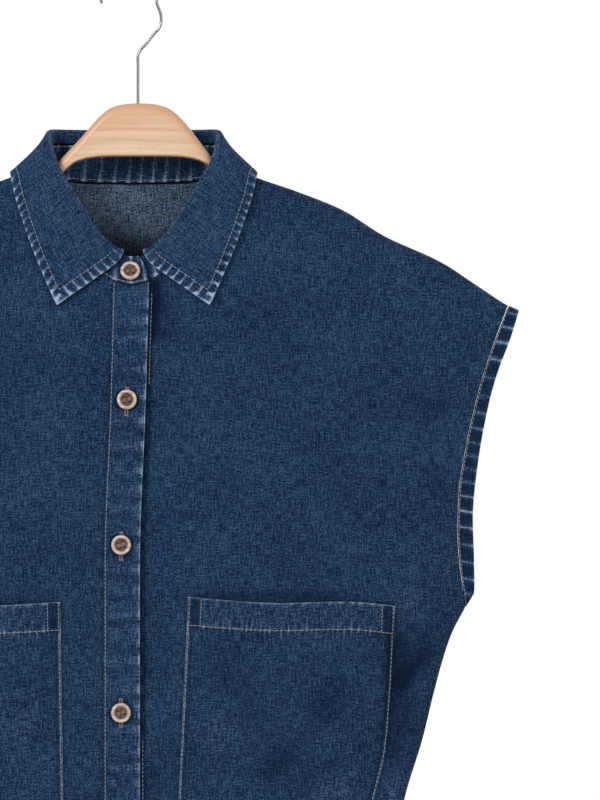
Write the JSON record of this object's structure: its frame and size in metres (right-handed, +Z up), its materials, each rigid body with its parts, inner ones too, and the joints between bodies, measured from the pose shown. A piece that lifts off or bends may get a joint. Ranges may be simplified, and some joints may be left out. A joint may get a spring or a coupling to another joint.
{
  "type": "denim vest on a wooden hanger",
  "caption": "Sleeveless denim shirt vest with a collar, button placket and patch pockets, hanging buttoned on a wooden hanger with a wire hook.",
  "frame": {"origin": "inner top of the hanger's hook, where a rail holds it", "axes": "+Z up, the vest's front faces -Y, +X towards the right of someone who looks at the front"},
  "size_m": [0.5562, 0.0803, 0.719],
  "materials": {
    "denim": "matte",
    "denim_worn": "matte",
    "button": "satin",
    "hanger_wood": "satin",
    "hook_steel": "gloss"
  },
  "bodies": {
    "root": {"back": "denim", "front_right": "denim", "front_left": "denim", "placket_over": "denim_worn", "placket_under": "denim_worn", "collar_stand": "denim_worn", "collar_leaf": "denim_worn", "pocket_left": "denim", "pocket_right": "denim", "armhole_band_right": "denim_worn", "armhole_band_left": "denim_worn", "button_1": "button", "button_2": "button", "button_3": "button", "button_4": "button", "button_5": "button", "hanger_wood": "hanger_wood", "hanger_hook": "hook_steel"}
  },
  "joints": []
}
